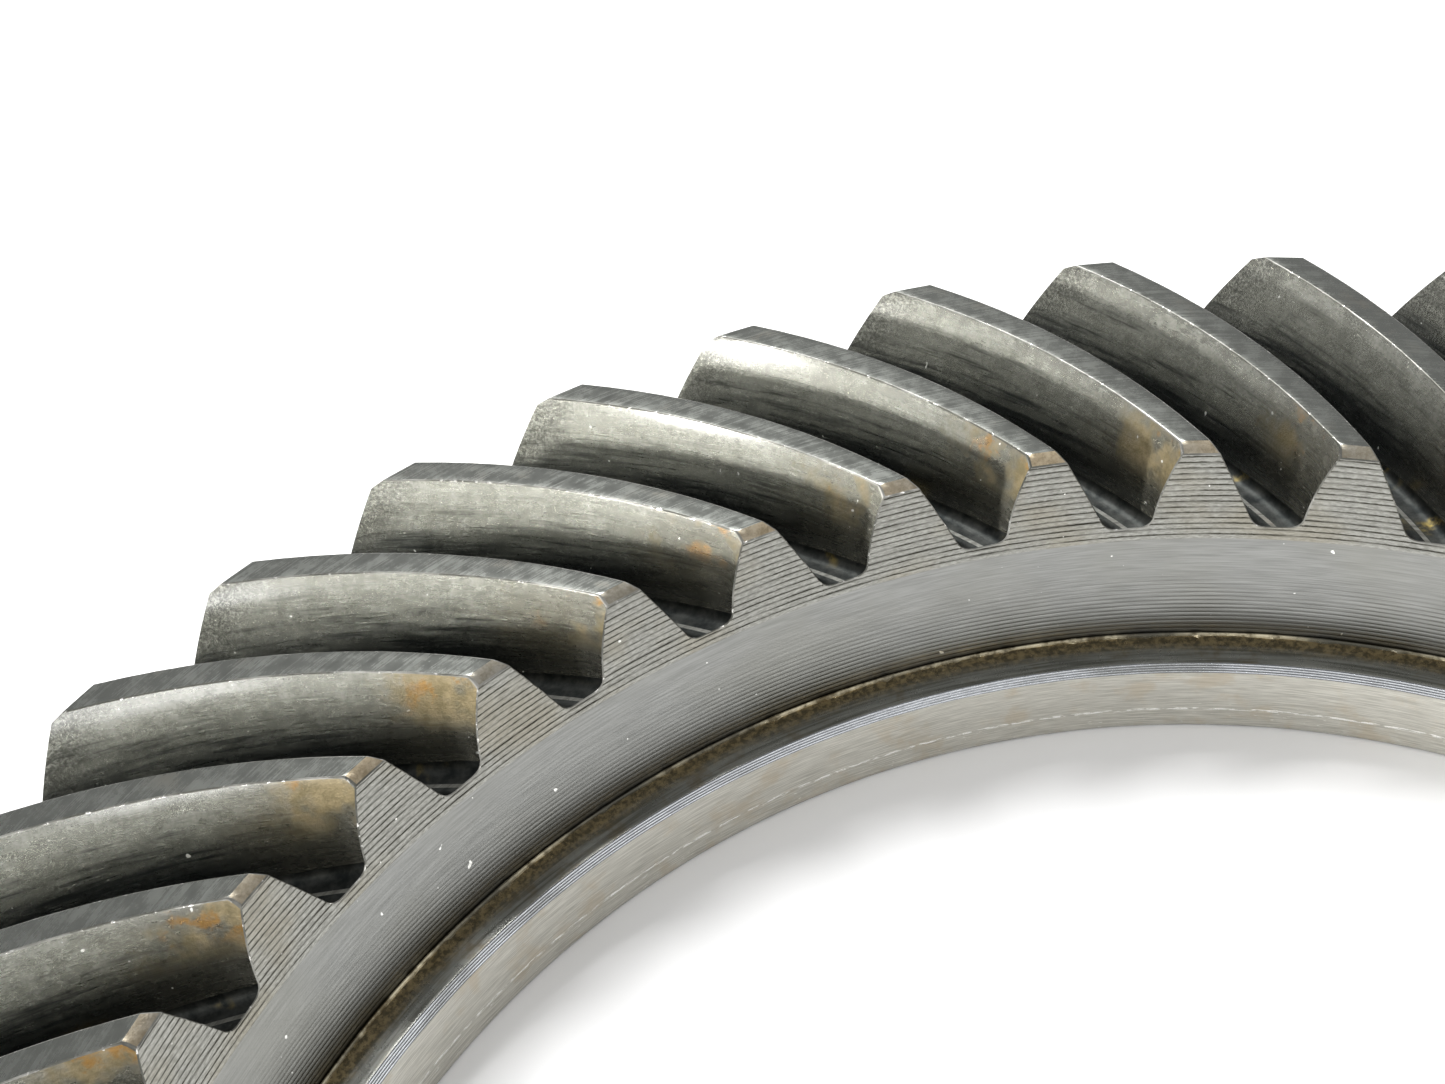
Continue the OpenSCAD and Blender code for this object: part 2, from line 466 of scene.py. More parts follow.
def add_toe_faces(shell, first_station):
    """The coarsely turned tooth ends, and the turned band under them.

    Returns the band's lowest ring and its bearings.
    """
    zero = np.array(0.0)
    left_root = root_points(INNER, zero, RIM)
    right_root = turn_about_axis(root_points(OUTER, zero, RIM), PITCH)[::-1]
    left_h, left_angle = side_curve(INNER, 0.0)
    right_h, right_angle = side_curve(OUTER, PITCH)
    base_h = max(left_h[0], right_h[0]) + TOE_FACE_START
    face_rows = groove_rows(base_h, TOE_TOP_H - RIM, COARSE_PITCH, COARSE_MARKS)
    left = np.interp(face_rows, left_h, left_angle)
    right = np.interp(face_rows, right_h, right_angle)
    share = np.linspace(0, 1, TOE_FACE_STEPS + 1)

    base_angles = left[0] + (right[0] - left[0]) * share
    top_angles = np.concatenate([bearing(left_root), base_angles, bearing(right_root)[:-1]])
    base_heights = np.full(TOE_FACE_STEPS + 1, base_h)
    top_heights = np.concatenate([left_root[:, 2], base_heights, right_root[:-1, 2]])
    columns = len(top_angles)
    turns = np.arange(TEETH)[:, None] * PITCH
    angles = (turns + top_angles).reshape(-1)
    fraction = np.linspace(0, 1, TOE_ROOT_ROWS)[:, None]
    heights = COARSE_END_H + (np.tile(top_heights, TEETH) - COARSE_END_H) * fraction
    cut = groove(angles, heights, COARSE_PITCH, COARSE_DEPTH)
    band = shell.add(polar(angles, toe_cone_r(heights) + cut, heights))
    shell.sheet(band, "toe_cone", closed=True)

    face_angles = left[:, None] + (right - left)[:, None] * share
    face_angles = face_angles[None, 1:] + turns[:, None]
    face_h = np.broadcast_to(face_rows[None, 1:, None], face_angles.shape)
    cut = groove(face_angles, face_h, COARSE_PITCH, COARSE_DEPTH)
    upper = shell.add(polar(face_angles, toe_cone_r(face_h) + cut, face_h), height=1.0)
    top_row = band[-1].reshape(TEETH, columns)
    first = len(left_root)
    for k in range(TEETH):
        base = top_row[k, first : first + TOE_FACE_STEPS + 1]
        face = np.vstack([base, upper[k]])
        shell.sheet(face, "toe_cone")
        add_toe_rim(shell, first_station, top_row, face, face_rows, k)
    return band[0], angles


def add_toe_rim(shell, first_station, top_row, face, face_rows, k):
    """The broken edge from one tooth's end face to its flanks, slot bottoms and chamfer.

    Both lines have shares: 0 to 2 up one side, 2 to 3 over the top, 3 to 5 down the other.
    """
    section = np.append(first_station[k], first_station[(k + 1) % TEETH, 0])
    side = np.concatenate([
        np.linspace(0, 1, ROOT_COUNT),
        1 + np.linspace(0, 1, WALL_STEPS + 1)[1:] * 0.94,
        [1.96, 1.98, 2.0],
    ])
    over = np.linspace(2, 3, LAND_STEPS + 1)[1:-1]
    section_share = np.concatenate([side, over, (5 - side)[::-1]])

    climb = (face_rows - face_rows[0]) / (face_rows[-1] - face_rows[0])
    after = ROOT_COUNT + TOE_FACE_STEPS + 1
    outline = np.concatenate([
        top_row[k, :ROOT_COUNT],
        face[:, 0],
        face[-1, 1:-1],
        face[::-1, -1],
        top_row[k, after:],
        [top_row[(k + 1) % TEETH, 0]],
    ])
    root_share = np.linspace(0, 0.97, ROOT_COUNT)
    outline_share = np.concatenate([
        root_share,
        1 + climb,
        np.linspace(2, 3, TOE_FACE_STEPS + 1)[1:-1],
        3 + climb,
        (5 - root_share)[::-1],
    ])
    corner = ROOT_COUNT + len(face_rows) - 1
    for low, high in ((0.0, 2.0), (2.0, 3.0), (3.0, 5.0)):
        a = [i for i, s in enumerate(section_share) if low <= s <= high]
        b = [i for i, s in enumerate(outline_share) if low <= s <= high]
        if low == 2.0:
            b = [i for i in b if outline_share[i] > 2.0 or i == corner]
        faces = stitch_faces(section[a], outline[b], section_share[a], outline_share[b])
        shell.keep(faces, "edge")


def ring_angles():
    return np.arange(RING_STEPS) * 2 * math.pi / RING_STEPS


def add_turned_rows(shell, outline, kinds):
    """Full rings through the points (r, h) of an outline, with a finish for each stretch."""
    outline = np.array(outline, float)
    index = shell.add(polar(ring_angles(), outline[:, 0:1], outline[:, 1:2]))
    for i, kind in enumerate(kinds):
        shell.sheet(index[i : i + 2], kind, closed=True)
    return index


def add_fine_cone(shell, coarse_ring, coarse_angles):
    """The finely turned cone from the coarse grooves down to the ledge."""
    rows = groove_rows(PILOT_H, COARSE_END_H, FINE_PITCH, FINE_MARKS)[:, None]
    angles = ring_angles()
    drop = (COARSE_END_H - rows) / (COARSE_END_H - PILOT_H)
    depth = FINE_DEPTH + FINE_DEEPENING * drop**1.5
    cut = groove(angles, rows, FINE_PITCH, 1.0) * depth
    step = FINE_STEP * np.clip((rows - PILOT_H) / 0.5, 0, 1)
    index = shell.add(polar(angles, toe_cone_r(rows) + cut + step, rows))
    shell.sheet(index, "fine_cone", closed=True)
    coarse_bearing = np.mod(coarse_angles, 2 * math.pi)
    shell.stitch_rings(coarse_ring, coarse_bearing, index[-1], angles, "fine_cone")
    return index[0]


HOLE_STEPS = 20


def add_bolt_hole(shell, rim, rim_points, centre_angle):
    """A tapped hole, and the part of the back face round it that rim bounds."""
    centre = np.array([math.cos(centre_angle), math.sin(centre_angle), 0]) * BOLT_CIRCLE_R
    around = np.arange(HOLE_STEPS) * 2 * math.pi / HOLE_STEPS
    mouth = BOLT_R + BOLT_COUNTERSINK
    threads = np.arange(BOLT_COUNTERSINK + 0.1, THREAD_END, THREAD_PITCH / 4)
    depth = threads[:, None] - THREAD_PITCH * around / (2 * math.pi)
    wave = np.abs(np.mod(depth / THREAD_PITCH, 1.0) * 2 - 1)
    ease = np.clip((threads[:, None] - BOLT_COUNTERSINK) / THREAD_PITCH, 0, 1)
    r = BOLT_R + THREAD_DEPTH * wave * ease
    h = np.broadcast_to(threads[:, None], r.shape)
    cone_h = BOLT_DEPTH - BOLT_R * math.tan(DRILL_SLOPE)
    lower = [(BOLT_R, cone_h), (DRILL_TIP_R, DRILL_TIP_H)]
    r = np.vstack([np.full(HOLE_STEPS, mouth), r, *[np.full(HOLE_STEPS, q[0]) for q in lower]])
    h = np.vstack([np.zeros(HOLE_STEPS), h, *[np.full(HOLE_STEPS, q[1]) for q in lower]])
    points = np.stack([r * np.cos(around), r * np.sin(around), h], axis=-1) + centre
    index = shell.add(points)
    shell.sheet(index[:2], "edge", closed=True)
    shell.sheet(index[1:], "thread", closed=True)
    shell.keep([index[-1].tolist()], "thread")
    offset = rim_points - centre
    rim_angle = np.mod(np.arctan2(offset[:, 1], offset[:, 0]), 2 * math.pi)
    shell.stitch_rings(rim, rim_angle, index[0], around, "back")


def add_outside_and_back(shell, skirt, skirt_angles, seat_ring):
    """Outside cylinder, bevel, back face with its tapped holes, and the seat bore.

    The outline rounds the edges above and below the bevel in small steps.
    """
    outline = [
        (HEEL_R, OUTSIDE_H),
        (HEEL_R, BACK_BEVEL_H + 0.4),
        (HEEL_R - 0.12, BACK_BEVEL_H + 0.05),
        (HEEL_R - 0.45, BACK_BEVEL_H - 0.35),
        (BACK_FACE_R + 0.35, 0.3),
        (BACK_FACE_R + 0.1, 0.1),
        (BACK_FACE_R - 0.3, 0),
    ]
    kinds = ["outside", "edge", "edge", "outside", "edge", "edge"]
    outside = add_turned_rows(shell, outline, kinds)
    skirt_bearing = np.mod(skirt_angles, 2 * math.pi)
    shell.stitch_rings(skirt, skirt_bearing, outside[0], ring_angles(), "outside")
    seat_outline = [(SEAT_R + SEAT_CHAMFER, 0), (SEAT_R, SEAT_CHAMFER)]
    seat = add_turned_rows(shell, seat_outline, ["edge"])
    shell.sheet(np.vstack([seat[-1], seat_ring]), "back", closed=True)

    outer_points = polar(ring_angles(), outline[-1][0], 0.0)
    inner_points = polar(ring_angles(), SEAT_R + SEAT_CHAMFER, 0.0)
    per_hole = RING_STEPS // BOLTS
    for i in range(BOLTS):
        columns = (np.arange(per_hole + 1) + i * per_hole - per_hole // 2) % RING_STEPS
        rim = np.concatenate([outside[-1][columns], seat[0][columns[::-1]]])
        rim_points = np.concatenate([outer_points[columns], inner_points[columns[::-1]]])
        add_bolt_hole(shell, rim, rim_points, 2 * math.pi * i / BOLTS)


def make_toothed_ring(materials):
    shell = Shell(GEAR_FINISHES)
    first_station, skirt, skirt_angles = add_teeth(shell)
    coarse_ring, coarse_angles = add_toe_faces(shell, first_station)
    seat_ring = add_fine_cone(shell, coarse_ring, coarse_angles)
    add_outside_and_back(shell, skirt, skirt_angles, seat_ring)
    return shell.build("toothed_ring", materials, 32)


# ---------------------------------------------------------------- pilot ring
PILOT_FINISHES = ["ledge", "pilot_chamfer", "pilot_bore", "edge", "back", "oil"]
LEDGE_STEPS = 18
LEDGE_LINE_DEPTH = 0.012
CHAMFER_LINE_DEPTH = 0.022
BORE_STEPS = 12
BORE_EDGE = 0.12  # broken edge at the bore's lower end
OIL_COLUMNS = 3 * RING_STEPS
OIL_SIDES = 8
OIL_SIZE = 0.22  # radius of the bead
OIL_SWELL = 0.03
OIL_DROPS = 0.14  # what a droplet adds to it


def add_seam_oil(shell):
    """The bead of oil along the ledge's outer corner, uneven, with droplets standing out of it."""
    a = np.arange(OIL_COLUMNS)[:, None] * 2 * math.pi / OIL_COLUMNS
    swell = np.sin(9 * a + 1.0) * np.sin(23 * a) + np.sin(61 * a + 2.0) * np.sin(37 * a)
    drops = np.clip(np.sin(151 * a) * np.sin(67 * a + 1.3), 0, 1) ** 3
    size = OIL_SIZE + OIL_SWELL * swell + OIL_DROPS * drops
    turn = np.arange(OIL_SIDES) * 2 * math.pi / OIL_SIDES
    r = SEAT_R - 0.02 - size + size * np.cos(turn)
    h = PILOT_H + 0.02 + size * np.sin(turn)
    index = shell.add(polar(a, r, h))
    shell.sheet(np.vstack([index.T, index.T[:1]]), "oil", closed=True)


def make_pilot_ring(materials):
    """The pressed-in ring: oily ledge, turned chamfer, ground pilot bore and the seam's oil."""
    shell = Shell(PILOT_FINISHES)
    outer = SEAT_R - SEAT_CHAMFER
    outline = [
        (outer, 0),
        (SEAT_R, SEAT_CHAMFER),
        (SEAT_R, PILOT_H - SEAT_CHAMFER),
        (outer, PILOT_H),
    ]
    kinds = ["edge", "back", "ledge"]
    ledge_end = PILOT_R + PILOT_CHAMFER
    for i in range(1, LEDGE_STEPS + 1):
        r = outer + (ledge_end + 0.06 - outer) * i / LEDGE_STEPS
        dip = LEDGE_LINE_DEPTH * (i % 2) if i < LEDGE_STEPS else 0
        outline.append((r, PILOT_H - dip))
        kinds.append("ledge")
    steps = CHAMFER_LINES * 4
    for i in range(steps + 1):
        fall = PILOT_CHAMFER * i / steps
        dip = CHAMFER_LINE_DEPTH if i % 4 == 2 else 0.0
        outline.append((ledge_end - fall + dip, PILOT_H - CHAMFER_DROP - fall - dip))
        kinds.append("pilot_chamfer")
    bore_top = PILOT_H - PILOT_CHAMFER - 0.08
    for i in range(BORE_STEPS + 1):
        outline.append((PILOT_R, bore_top + (BORE_EDGE - bore_top) * i / BORE_STEPS))
        kinds.append("pilot_bore")
    outline += [(PILOT_R + 0.04, 0.04), (PILOT_R + BORE_EDGE, 0)]
    kinds += ["edge", "edge"]
    index = add_turned_rows(shell, outline, kinds)
    shell.sheet(np.vstack([index[-1], index[0]]), "back", closed=True)
    add_seam_oil(shell)
    return shell.build("pilot_band", materials, 40)


# ---------------------------------------------------------------- shader graphs
class Graph:
    """A material's nodes. A value given to a socket is a number or another node's output."""

    def __init__(self, name, **settings):
        self.material = bpy.data.materials.new(name)
        self.material.use_nodes = True
        self.nodes = self.material.node_tree.nodes
        self.links = self.material.node_tree.links
        self.shader = self.nodes["Principled BSDF"]
        for socket, value in settings.items():
            self.shader.inputs[socket.replace("_", " ")].default_value = value

    def put(self, socket, value):
        if isinstance(value, bpy.types.NodeSocket):
            self.links.new(value, socket)
        else:
            socket.default_value = value

    def math(self, operation, a, b=0.0):
        node = self.nodes.new("ShaderNodeMath")
        node.operation = operation
        for socket, value in zip(node.inputs[:2], (a, b), strict=True):
            self.put(socket, value)
        return node.outputs[0]

    def times(self, a, b):
        return self.math("MULTIPLY", a, b)

    def plus(self, a, b):
        return self.math("ADD", a, b)

    def minus(self, a, b):
        return self.math("SUBTRACT", a, b)

    def vector(self, x, y, z):
        node = self.nodes.new("ShaderNodeCombineXYZ")
        for socket, value in zip(node.inputs, (x, y, z), strict=True):
            self.put(socket, value)
        return node.outputs[0]

    def split(self, vector):
        node = self.nodes.new("ShaderNodeSeparateXYZ")
        self.put(node.inputs[0], vector)
        return node.outputs[0], node.outputs[1], node.outputs[2]

    def noise(self, vector, scale, w=None, detail=3.0, roughness=0.55, distortion=0.0):
        node = self.nodes.new("ShaderNodeTexNoise")
        node.noise_dimensions = "3D" if w is None else "4D"
        self.put(node.inputs["Vector"], vector)
        if w is not None:
            self.put(node.inputs["W"], w)
        self.put(node.inputs["Scale"], scale)
        self.put(node.inputs["Detail"], detail)
        self.put(node.inputs["Roughness"], roughness)
        self.put(node.inputs["Distortion"], distortion)
        return node.outputs["Fac"]

    def fade(self, value, low, high, to_low=0.0, to_high=1.0):
        """Smooth step from to_low at low to to_high at high."""
        node = self.nodes.new("ShaderNodeMapRange")
        node.interpolation_type = "SMOOTHSTEP"
        numbers = (value, low, high, to_low, to_high)
        for socket, number in zip(node.inputs[:5], numbers, strict=True):
            self.put(socket, number)
        return node.outputs[0]

    def blend(self, amount, a, b):
        node = self.nodes.new("ShaderNodeMix")
        node.data_type = "RGBA"
        colours = [s for s in node.inputs if s.type == "RGBA"]
        self.put(node.inputs[0], amount)
        self.put(colours[0], a if isinstance(a, bpy.types.NodeSocket) else (*a, 1))
        self.put(colours[1], b if isinstance(b, bpy.types.NodeSocket) else (*b, 1))
        return next(s for s in node.outputs if s.type == "RGBA")

    def bump(self, height, distance, normal=None):
        """distance is in mm."""
        node = self.nodes.new("ShaderNodeBump")
        self.put(node.inputs["Strength"], 1.0)
        self.put(node.inputs["Distance"], distance * MM)
        self.put(node.inputs["Height"], height)
        if normal is not None:
            self.put(node.inputs["Normal"], normal)
        return node.outputs[0]

    def position(self):
        """Position on the gear in mm."""
        node = self.nodes.new("ShaderNodeTexCoord")
        scaled = self.nodes.new("ShaderNodeVectorMath")
        scaled.operation = "SCALE"
        self.put(scaled.inputs[0], node.outputs["Object"])
        self.put(scaled.inputs["Scale"], 1 / MM)
        return scaled.outputs[0]

    def round_axis(self, position):
        """Radius and height of a position, and the cosine and sine of its bearing."""
        x, y, z = self.split(position)
        r = self.math("SQRT", self.plus(self.times(x, x), self.times(y, y)))
        return r, z, self.math("DIVIDE", x, r), self.math("DIVIDE", y, r)

    def lane(self):
        """Distance along the tooth in mm, and the share of its height."""
        node = self.nodes.new("ShaderNodeAttribute")
        node.attribute_name = "lane"
        along, height, _ = self.split(node.outputs["Vector"])
        return along, height

    def turned(self, across, cosine, sine, round_scale, fine_scale, detail=3.0):
        """Noise drawn out round the axis, as turning and grinding leave it."""
        x, y = self.times(cosine, round_scale), self.times(sine, round_scale)
        return self.noise(self.vector(x, y, 0.0), 1.0, self.times(across, fine_scale), detail)

    def dusted(self, tone, position):
        """The tone with a few specks of light dust on it."""
        specks = self.fade(self.noise(position, 1.1, detail=1), 0.785, 0.81)
        return self.blend(specks, tone, (0.9, 0.9, 0.86))

    def finish(self, colour, roughness, normal=None):
        self.put(self.shader.inputs["Base Color"], colour)
        self.put(self.shader.inputs["Roughness"], roughness)
        if normal is not None:
            self.put(self.shader.inputs["Normal"], normal)
        return self.material


def turned_finish(name, tint, dark, rough, line_scale, line_depth):
    """Turned steel: lines round the axis and faint oil stains."""
    g = Graph(name, Metallic=1.0)
    position = g.position()
    r, z, c, s = g.round_axis(position)
    across = g.plus(r, z)
    lines = g.turned(across, c, s, 14, line_scale)
    broad = g.noise(position, 0.11, detail=4)
    spots = g.noise(position, 0.5, detail=5, roughness=0.65)
    tone = g.blend(g.fade(lines, 0.3, 0.68), dark, tint)
    mask = g.times(g.fade(broad, 0.52, 0.7), g.fade(spots, 0.42, 0.62))
    tone = g.blend(g.times(mask, 0.25), tone, (0.10, 0.07, 0.04))
    level = g.fade(lines, 0.25, 0.75, rough + 0.08, rough - 0.05)
    level = g.plus(level, g.fade(spots, 0.3, 0.7, -0.04, 0.06))
    return g.finish(tone, level, g.bump(lines, line_depth))


def groove_line(g, z, pitch, width, soft):
    """1 within width of each turned groove's bottom, falling to 0 over soft beside it.

    Both are shares of the pitch.
    """
    turn = g.math("DIVIDE", z, pitch)
    off = g.math("ABSOLUTE", g.minus(turn, g.math("ROUND", turn)))
    return g.fade(off, width + soft, width)


def toe_cone_finish():
    """Coarsely turned tooth ends: light bands between thin, ragged grooves darkened with painted
    shade.
    """
    g = Graph("toe_cone_steel", Metallic=1.0)
    position = g.position()
    _, z, c, s = g.round_axis(position)
    ragged = g.turned(z, c, s, 170, 6.0, detail=4)
    bands = g.turned(z, c, s, 26, 1.4, detail=3)
    broad = g.noise(position, 0.1, detail=3)
    wander = g.times(g.minus(ragged, 0.5), 0.16)
    # Painted shade: the groove bottoms are darkened to near black, following the cut grooves.
    line = groove_line(g, g.plus(z, wander), COARSE_PITCH, 0.075, 0.10)
    painted_groove_shade = g.times(line, g.fade(bands, 0.3, 0.6, 0.35, 1.0))
    tone = g.blend(g.fade(ragged, 0.3, 0.7), (0.25, 0.249, 0.226), (0.385, 0.384, 0.355))
    tone = g.blend(g.fade(broad, 0.45, 0.7, 0.0, 0.45), tone, (0.30, 0.27, 0.20))
    tone = g.blend(g.times(painted_groove_shade, 0.93), tone, (0.03, 0.028, 0.02))
    tone = g.dusted(tone, position)
    return g.finish(tone, g.fade(ragged, 0.3, 0.7, 0.46, 0.34), g.bump(ragged, 0.03))


def fine_cone_finish():
    """The finely turned cone: even blue grey, its lines darkened by painted shade towards the oily
    ledge.
    """
    g = Graph("fine_cone_steel", Metallic=1.0)
    position = g.position()
    _, z, c, s = g.round_axis(position)
    fine = g.turned(z, c, s, 20, 7.0, detail=4)
    broad = g.noise(position, 0.07, detail=3)
    # Painted shade in the groove bottoms, tinted brown by oil, growing from almost none at the top
    # to near black at the ledge.
    line = groove_line(g, z, FINE_PITCH, 0.02, 0.26)
    low = g.fade(z, PILOT_H + 9.0, PILOT_H + 1.6, 0.03, 1.0)
    low = g.times(low, g.fade(broad, 0.35, 0.65, 0.55, 1.0))
    tone = g.blend(g.fade(fine, 0.3, 0.7), (0.222, 0.225, 0.215), (0.292, 0.295, 0.283))
    tone = g.blend(g.fade(broad, 0.4, 0.7, 0.0, 0.5), tone, (0.25, 0.25, 0.225))
    dark = g.times(g.times(line, low), 0.95)
    tone = g.blend(dark, tone, (0.022, 0.019, 0.011))
    # Brown oil stain with painted shade in the corner at the ledge, over its last millimetre.
    oil = g.fade(z, PILOT_H + 1.0, PILOT_H + 0.2)
    oil = g.times(oil, g.fade(broad, 0.4, 0.6, 0.3, 0.75))
    tone = g.blend(oil, tone, (0.06, 0.053, 0.034))
    tone = g.dusted(tone, position)
    return g.finish(tone, g.fade(fine, 0.3, 0.7, 0.40, 0.30), g.bump(fine, 0.008))


def flank_finish():
    """Cut and lapped tooth flanks under a film of oil.

    They are mottled olive grey, scored lengthwise, dark at the root with painted shade, darker
    towards the heel, with brown stains deepened by painted shade, dull rust and orange spots
    near the toe.
    """
    g = Graph("flank_steel", Metallic=1.0, Coat_Weight=0.8, Coat_Roughness=0.16)
    position = g.position()
    along, height = g.lane()
    x, y, _ = g.split(position)
    drift = g.plus(g.times(x, 0.05), g.times(y, 0.065))
    lane = g.vector(g.times(along, 0.13), g.times(height, 24.0), 0.0)
    scores = g.noise(lane, 1.0, drift, detail=6, roughness=0.66, distortion=0.25)
    mottle = g.noise(position, 0.55, detail=7, roughness=0.7)
    grain = g.noise(position, 3.2, detail=4, roughness=0.75)
    tone = g.blend(g.fade(mottle, 0.32, 0.68), (0.20, 0.202, 0.172), (0.30, 0.302, 0.265))
    tone = g.blend(g.fade(grain, 0.5, 0.66, 0.0, 0.3), tone, (0.42, 0.42, 0.385))
    tone = g.blend(g.fade(grain, 0.48, 0.36, 0.0, 0.32), tone, (0.10, 0.10, 0.082))
    middle = g.fade(height, 0.75, 0.45, 0.06, 0.8)
    scored = g.times(g.fade(scores, 0.44, 0.30), middle)
    tone = g.blend(scored, tone, (0.07, 0.07, 0.06))
    # Painted shade: darker towards the root along a wavy line, with less of it near the toe.
    wave = g.times(g.minus(scores, 0.5), 0.8)
    shade = g.fade(g.plus(height, wave), 0.56, 0.14, 0.0, 0.96)
    shade = g.times(shade, g.fade(along, 0.0, 9.0, 0.68, 1.0))
    tone = g.blend(shade, tone, (0.014, 0.017, 0.017))
    # Brown stains deepened by painted shade towards the toe.
    brown = g.fade(mottle, 0.3, 0.6, 0.6, 1.0)
    brown = g.times(g.fade(along, 14.0, 3.0, 0.0, 0.5), brown)
    tone = g.blend(brown, tone, (0.125, 0.118, 0.092))
    # Darker towards the heel, in blotches.
    darker_heel = g.times(g.fade(along, 31.0, 36.0, 0.0, 0.75), g.fade(grain, 0.58, 0.42))
    tone = g.blend(darker_heel, tone, (0.05, 0.05, 0.042))
    patch = g.noise(position, 0.09, detail=4, roughness=0.6)
    ragged = g.times(g.minus(mottle, 0.5), 14.0)
    reach = g.plus(along, ragged)
    rust = g.times(g.fade(reach, 11.0, 4.0), g.fade(patch, 0.47, 0.58))
    rust = g.times(rust, g.fade(height, 0.22, 0.5))
    rust_colour = g.blend(g.fade(mottle, 0.35, 0.65), (0.25, 0.20, 0.10), (0.42, 0.34, 0.19))
    tone = g.blend(g.times(rust, 0.8), tone, rust_colour)
    spot = g.noise(position, 0.26, detail=4, roughness=0.62)
    orange = g.times(g.fade(along, 9.0, 4.0), g.fade(spot, 0.55, 0.66))
    orange = g.times(orange, g.fade(height, 0.35, 0.6))
    tone = g.blend(g.times(orange, 0.85), tone, (0.37, 0.20, 0.05))
    tone = g.dusted(tone, position)
    level = g.plus(g.fade(mottle, 0.3, 0.7, 0.20, 0.27), g.times(rust, 0.25))
    level = g.plus(level, g.fade(scores, 0.35, 0.6, 0.08, 0.0))
    normal = g.bump(scores, 0.025)
    normal = g.bump(grain, 0.085, normal)
    return g.finish(tone, level, normal)


def root_finish():
    """Slot bottoms: oily, nearly black with painted shade, with a few yellow stains."""
    g = Graph("root_steel", Metallic=1.0)
    position = g.position()
    mottle = g.noise(position, 0.6, detail=5, roughness=0.65)
    grain = g.noise(position, 5.0, detail=3)
    # Painted shade: the slot bottoms are made nearly black.
    tone = g.blend(g.fade(mottle, 0.3, 0.7), (0.012, 0.014, 0.014), (0.045, 0.047, 0.044))
    patch = g.noise(position, 0.12, detail=3)
    yellow = g.times(g.fade(patch, 0.62, 0.7), g.fade(mottle, 0.4, 0.6))
    tone = g.blend(g.times(yellow, 0.6), tone, (0.30, 0.22, 0.05))
    return g.finish(tone, g.fade(grain, 0.3, 0.7, 0.34, 0.5), g.bump(grain, 0.012))


def chamfer_finish():
    """Toe chamfers: tan and brown oxide over ragged steel."""
    g = Graph("toe_chamfer_steel", Metallic=0.9)
    position = g.position()
    mottle = g.noise(position, 0.9, detail=6, roughness=0.7)
    grain = g.noise(position, 5.0, detail=4, roughness=0.7)
    broad = g.noise(position, 0.045, detail=2)
    tone = g.blend(g.fade(mottle, 0.35, 0.65), (0.19, 0.17, 0.13), (0.30, 0.285, 0.245))
    tan = g.blend(g.fade(mottle, 0.35, 0.65), (0.24, 0.19, 0.12), (0.44, 0.37, 0.26))
    tone = g.blend(g.fade(broad, 0.42, 0.58), tone, tan)
    tone = g.blend(g.fade(grain, 0.55, 0.75, 0.0, 0.5), tone, (0.09, 0.06, 0.04))
    return g.finish(tone, g.fade(mottle, 0.3, 0.7, 0.52, 0.38), g.bump(grain, 0.04))


def edge_finish():
    """Broken edges: like the faces beside them, with small bright burrs here and there."""
    g = Graph("edge_steel", Metallic=1.0)
    position = g.position()
    mottle = g.noise(position, 0.14, detail=4, roughness=0.6)
    burrs = g.noise(position, 1.5, detail=3, roughness=0.6)
    tone = g.blend(g.fade(mottle, 0.38, 0.66), (0.12, 0.12, 0.105), (0.36, 0.355, 0.33))
    tone = g.blend(g.fade(burrs, 0.58, 0.68), tone, (0.80, 0.79, 0.75))
    return g.finish(tone, g.fade(burrs, 0.4, 0.65, 0.46, 0.26), g.bump(burrs, 0.03))


def oil_finish():
    """Oil that creeps out of the seam between the rings: dark gold and glossy, with painted
    glints.
    """
    g = Graph("seam_oil", Metallic=0.6, Coat_Weight=1.0, Coat_Roughness=0.04)
    position = g.position()
    beads = g.noise(position, 0.8, detail=3)
    broad = g.noise(position, 0.05, detail=2)
    # The bright gold patches are painted glints on the oil.
    tone = g.blend(g.fade(beads, 0.35, 0.65), (0.16, 0.12, 0.05), (0.95, 0.85, 0.60))
    tone = g.blend(g.fade(broad, 0.4, 0.6), tone, (0.09, 0.085, 0.06))
    return g.finish(tone, g.fade(beads, 0.3, 0.7, 0.06, 0.16), g.bump(beads, 0.05))


def ledge_finish():
    """The ledge: olive grey with faint turned lines, and brown oil on its outer half."""
    g = Graph("ledge_oiled_steel", Metallic=0.85, Coat_Weight=0.3, Coat_Roughness=0.12)
    position = g.position()
    r, _, c, s = g.round_axis(position)
    lines = g.turned(r, c, s, 9, 3.2)
    mottle = g.noise(position, 0.28, detail=6, roughness=0.65)
    tone = g.blend(g.fade(lines, 0.3, 0.7), (0.17, 0.172, 0.15), (0.42, 0.425, 0.395))
    tone = g.blend(g.fade(mottle, 0.5, 0.72, 0.0, 0.6), tone, (0.17, 0.125, 0.06))
    wet = g.noise(position, 1.3, detail=4, roughness=0.7)
    brown = g.blend(g.fade(wet, 0.4, 0.62), (0.13, 0.10, 0.045), (0.42, 0.32, 0.16))
    tone = g.blend(g.fade(r, 83.2, 85.0, 0.0, 0.9), tone, brown)
    level = g.fade(mottle, 0.3, 0.7, 0.22, 0.36)
    return g.finish(tone, level, g.bump(lines, 0.02))


